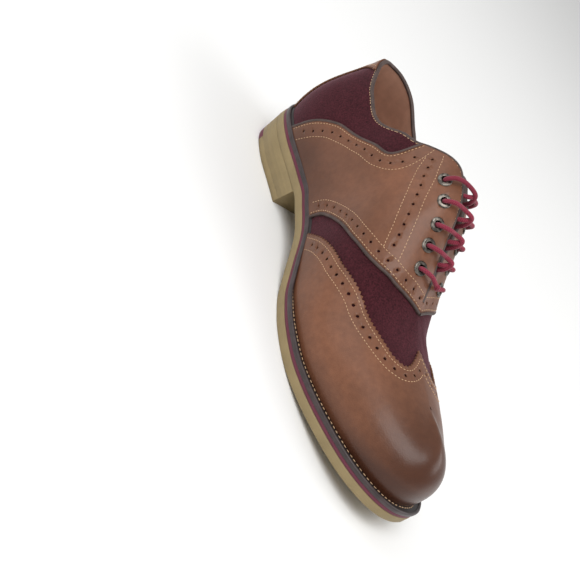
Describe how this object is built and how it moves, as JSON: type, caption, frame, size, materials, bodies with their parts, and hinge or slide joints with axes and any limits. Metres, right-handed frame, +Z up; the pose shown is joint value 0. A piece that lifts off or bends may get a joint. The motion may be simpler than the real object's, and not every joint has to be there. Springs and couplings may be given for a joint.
{
  "type": "wingtip oxford",
  "caption": "Left wingtip oxford dress shoe with pinked wing toe, leather saddle over suede, welted rubber sole, block heel and loose round laces.",
  "frame": {"origin": "centre of the plan box, on the floor that the heel and the forefoot stand on", "axes": "+Z up, +X towards the toe, +Y towards the lateral side of this left shoe"},
  "size_m": [0.3068, 0.1062, 0.1212],
  "materials": {
    "outsole": "moulded crepe-coloured rubber, satin",
    "midsole": "thin coloured layer, satin",
    "welt": "dark edge-finished welt, satin",
    "heel": "stacked look, faint lift lines, satin",
    "heel_tip": "plain rubber tip, matt",
    "insole": "smooth leather sock",
    "suede": "burgundy suede, napped",
    "grain": "tan grain leather, waxed",
    "burnished": "tan grain leather, burnished at the toe",
    "binding": "dark folded leather binding",
    "tongue": "lined leather",
    "eyelet": "antique dark metal",
    "lace": "round braided cotton lace"
  },
  "bodies": {
    "root": {"outsole": "outsole", "midsole": "midsole", "welt": "welt", "heel": "heel", "heel_tip": "heel_tip", "insole": "insole", "upper": "suede", "counter": "grain", "saddle": "grain", "wingtip": "burnished", "collar_binding": "binding", "tongue": "tongue", "eyelet_medial_1": "eyelet", "eyelet_medial_2": "eyelet", "eyelet_medial_3": "eyelet", "eyelet_medial_4": "eyelet", "eyelet_medial_5": "eyelet", "eyelet_lateral_1": "eyelet", "eyelet_lateral_2": "eyelet", "eyelet_lateral_3": "eyelet", "eyelet_lateral_4": "eyelet", "eyelet_lateral_5": "eyelet", "lace_bar": "lace", "lace_cross_1": "lace", "lace_cross_2": "lace", "lace_cross_3": "lace", "lace_cross_4": "lace"}
  },
  "joints": []
}
